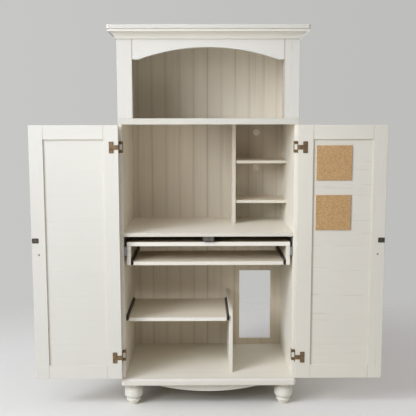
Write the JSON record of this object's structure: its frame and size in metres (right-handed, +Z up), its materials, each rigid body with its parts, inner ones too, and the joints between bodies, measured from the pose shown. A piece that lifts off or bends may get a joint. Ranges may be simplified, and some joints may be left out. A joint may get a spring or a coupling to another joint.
{
  "type": "computer armoire",
  "caption": "Tall painted computer armoire with an open arched hutch, two swing doors, a pull-out keyboard unit, a slide-out printer shelf and turned bun feet.",
  "frame": {"origin": "on the floor, at the bottom centre of the box around the whole piece with its doors open", "axes": "+X to the right of a person facing the piece, +Y to its back, +Z up"},
  "size_m": [1.6938, 0.584, 1.857],
  "materials": {
    "painted_wood": "antique off-white paint, satin",
    "beadboard": "antique off-white paint on grooved board, satin",
    "cork": "natural granulated cork",
    "bronze": "antique bronze, brushed",
    "dark_steel": "dark bronze lacquer",
    "zinc_steel": "bright zinc",
    "black_steel": "black electrocoat",
    "fastener_steel": "plated steel",
    "catch_plastic": "moulded grey",
    "magnet": "steel-faced magnet",
    "cap_plastic": "moulded off-white"
  },
  "bodies": {
    "case": {"left_side_panel": "painted_wood", "right_side_panel": "painted_wood", "bottom_panel": "painted_wood", "desk_shelf": "painted_wood", "hutch_floor": "painted_wood", "hutch_top_panel": "painted_wood", "hutch_stiles": "painted_wood", "hutch_bottom_rail": "painted_wood", "arched_rail": "painted_wood", "crown_front": "painted_wood", "crown_left": "painted_wood", "crown_right": "painted_wood", "crown_top_board": "painted_wood", "cubby_divider": "painted_wood", "cubby_shelves": "painted_wood", "lower_partition": "painted_wood", "base_front_moulding": "painted_wood", "apron": "painted_wood", "bun_feet": "painted_wood", "hutch_back_panel": "beadboard", "middle_back_panel": "beadboard", "lower_back_panel": "beadboard", "hinge_case_leaves": "bronze", "hinge_pins": "bronze", "pullout_slide_outer": "zinc_steel", "printer_slide_outer": "black_steel", "case_screws": "fastener_steel", "foot_bolts": "fastener_steel", "shelf_pins": "fastener_steel", "magnetic_catch": "catch_plastic", "catch_magnets": "magnet", "cable_port_caps": "cap_plastic"},
    "left_door": {"left_door_hinge_stile": "painted_wood", "left_door_lock_stile": "painted_wood", "left_door_rails": "painted_wood", "left_door_panel": "painted_wood", "left_door_hinge_leaves": "bronze", "left_door_knob": "bronze", "left_door_strike": "dark_steel", "left_door_screws": "fastener_steel"},
    "right_door": {"right_door_hinge_stile": "painted_wood", "right_door_lock_stile": "painted_wood", "right_door_rails": "painted_wood", "right_door_panel": "painted_wood", "right_door_hinge_leaves": "bronze", "right_door_knob": "bronze", "right_door_strike": "dark_steel", "right_door_screws": "fastener_steel", "cork_boards": "cork"},
    "pullout": {"pullout_top": "painted_wood", "pullout_sides": "painted_wood", "pullout_slide_inner": "zinc_steel", "tray_slide_outer": "black_steel"},
    "tray": {"keyboard_tray": "painted_wood", "tray_slide_inner": "black_steel"},
    "printer": {"printer_shelf": "painted_wood", "printer_slide_inner": "black_steel"},
    "pullout_cage": {"pullout_slide_cage": "zinc_steel"},
    "tray_cage": {"tray_slide_cage": "zinc_steel"},
    "printer_cage": {"printer_slide_cage": "zinc_steel"}
  },
  "joints": [
    {"name": "left_door_swing", "type": "hinge", "parent": "case", "child": "left_door", "pos_m": [-0.4241, -0.27, 0.775], "axis": [0, 0, -1], "range_deg": [-180, 0]},
    {"name": "right_door_swing", "type": "hinge", "parent": "case", "child": "right_door", "pos_m": [0.4241, -0.27, 0.775], "axis": [0, 0, 1], "range_deg": [-180, 0]},
    {"name": "pullout_slide", "type": "slide", "parent": "case", "child": "pullout", "axis": [0, -1, 0], "range_m": [0, 0.3]},
    {"name": "tray_slide", "type": "slide", "parent": "pullout", "child": "tray", "axis": [0, -1, 0], "range_m": [0, 0.2]},
    {"name": "printer_slide", "type": "slide", "parent": "case", "child": "printer", "axis": [0, -1, 0], "range_m": [0, 0.28]},
    {"name": "pullout_cage_roll", "type": "slide", "parent": "case", "child": "pullout_cage", "axis": [0, -1, 0], "range_m": [0, 0.15]},
    {"name": "tray_cage_roll", "type": "slide", "parent": "pullout", "child": "tray_cage", "axis": [0, -1, 0], "range_m": [0, 0.1]},
    {"name": "printer_cage_roll", "type": "slide", "parent": "case", "child": "printer_cage", "axis": [0, -1, 0], "range_m": [0, 0.14]}
  ],
  "couplings": [
    {"joint": "pullout_cage_roll", "follows": "pullout_slide", "ratio": 0.5},
    {"joint": "tray_cage_roll", "follows": "tray_slide", "ratio": 0.5},
    {"joint": "printer_cage_roll", "follows": "printer_slide", "ratio": 0.5}
  ]
}
